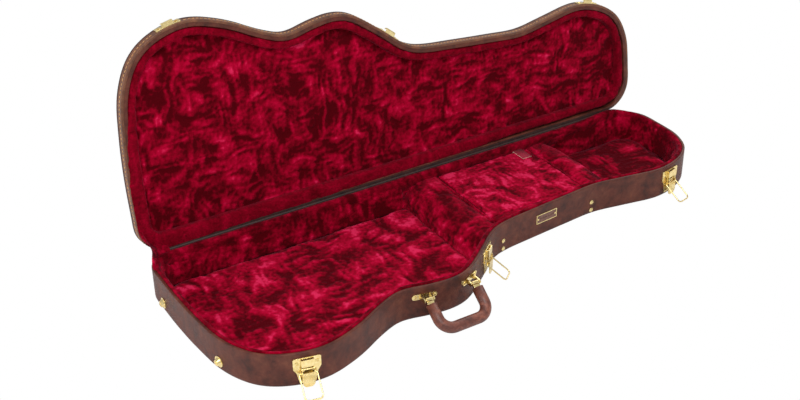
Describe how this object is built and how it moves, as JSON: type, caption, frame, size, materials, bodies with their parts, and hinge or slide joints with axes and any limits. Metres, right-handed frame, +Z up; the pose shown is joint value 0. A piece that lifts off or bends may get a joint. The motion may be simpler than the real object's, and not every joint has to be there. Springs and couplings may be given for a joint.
{
  "type": "guitar case",
  "caption": "Contoured hard guitar case lying open: vinyl-covered shell, plush lining, hinged lid, drawbolt latches, carry handle and a lidded accessory compartment.",
  "frame": {"origin": "on the underside of the base, at mid-length and midway between the hinge side and the lower bout", "axes": "+X along the case towards the headstock end, +Y towards the lid hinges, +Z up"},
  "size_m": [1.0594, 0.4913, 0.4414],
  "materials": {
    "plywood": "matt",
    "brown_vinyl": "satin, leather-look grain",
    "crimson_plush": "crushed plush",
    "brown_leather": "satin",
    "brass": "polished",
    "steel": "plain"
  },
  "bodies": {
    "base": {"base_board": "plywood", "base_frame_body": "plywood", "base_frame_neck": "plywood", "base_frame_back": "plywood", "base_vinyl_wrap": "brown_vinyl", "base_vinyl_sheet": "brown_vinyl", "wall_lining": "crimson_plush", "valance": "crimson_plush", "body_bolster": "crimson_plush", "body_bed": "crimson_plush", "heel_wedge": "crimson_plush", "partition_boards": "plywood", "compartment_floor": "crimson_plush", "flap_cleats": "plywood", "block_front_pad": "crimson_plush", "block_back_pad": "crimson_plush", "head_wedge": "crimson_plush", "headstock_bed": "crimson_plush", "headstock_bolster": "crimson_plush", "compartment_tape": "crimson_plush", "hinge_leaves_base": "brass", "hinge_pins": "brass", "hinge_rivets_base": "brass", "latch_plates": "brass", "latch_pins": "brass", "latch_screws": "brass", "handle_brackets": "brass", "handle_screws": "brass", "end_feet": "brass", "end_foot_screws": "brass", "partition_rivets": "brass", "badge_plate": "brass", "badge_pins": "brass"},
    "lid": {"lid_frame_front": "plywood", "lid_frame_back": "plywood", "lid_board": "plywood", "lid_vinyl_wrap": "brown_vinyl", "lid_vinyl_sheet": "brown_vinyl", "lid_piping": "brown_vinyl", "lid_rim_front": "brown_vinyl", "lid_rim_back": "brown_vinyl", "lid_border_pad": "crimson_plush", "lid_panel_pad": "crimson_plush", "hinge_leaves_lid": "brass", "hinge_rivets_lid": "brass", "lid_catches": "brass", "catch_screws": "brass"},
    "flap": {"compartment_lid_board": "plywood", "compartment_lid_plush": "crimson_plush", "pull_tab": "brown_leather"},
    "lever_body": {"latch_lever_body": "brass"},
    "bail_body": {"latch_bail_body": "brass"},
    "lever_waist": {"latch_lever_waist": "brass"},
    "bail_waist": {"latch_bail_waist": "brass"},
    "lever_head": {"latch_lever_head": "brass"},
    "bail_head": {"latch_bail_head": "brass"},
    "handle": {"handle_core": "steel", "handle_wrap": "brown_leather", "handle_eyes": "brass"}
  },
  "joints": [
    {"name": "lid_hinge", "type": "hinge", "parent": "base", "child": "lid", "pos_m": [0, 0.1896, 0.06225], "axis": [-1, 0, 0], "range_deg": [-98, 0]},
    {"name": "flap_hinge", "type": "hinge", "parent": "base", "child": "flap", "pos_m": [0.1515, -0.0027, 0.051], "axis": [1, 0, 0], "range_deg": [0, 85]},
    {"name": "lever_body_hinge", "type": "hinge", "parent": "base", "child": "lever_body", "pos_m": [-0.41511, -0.18842, 0.034], "axis": [0.9748, -0.223, 0], "range_deg": [-100, 0]},
    {"name": "bail_body_hinge", "type": "hinge", "parent": "lever_body", "child": "bail_body", "pos_m": [-0.415, -0.18793, 0.026], "axis": [-0.9748, 0.223, 0], "range_deg": [0, 115]},
    {"name": "lever_waist_hinge", "type": "hinge", "parent": "base", "child": "lever_waist", "pos_m": [-0.01181, -0.08389, 0.034], "axis": [0.7705, 0.6374, 0], "range_deg": [-100, 0]},
    {"name": "bail_waist_hinge", "type": "hinge", "parent": "lever_waist", "child": "bail_waist", "pos_m": [-0.01213, -0.0835, 0.026], "axis": [-0.7705, -0.6374, 0], "range_deg": [0, 115]},
    {"name": "lever_head_hinge", "type": "hinge", "parent": "base", "child": "lever_head", "pos_m": [0.42903, -0.04764, 0.034], "axis": [0.9787, 0.2053, 0], "range_deg": [-100, 0]},
    {"name": "bail_head_hinge", "type": "hinge", "parent": "lever_head", "child": "bail_head", "pos_m": [0.42892, -0.04715, 0.026], "axis": [-0.9787, -0.2053, 0], "range_deg": [0, 115]},
    {"name": "handle_hinge", "type": "hinge", "parent": "base", "child": "handle", "pos_m": [-0.1295, -0.147, 0.044], "axis": [-1, 0, 0], "range_deg": [0, 95]}
  ]
}
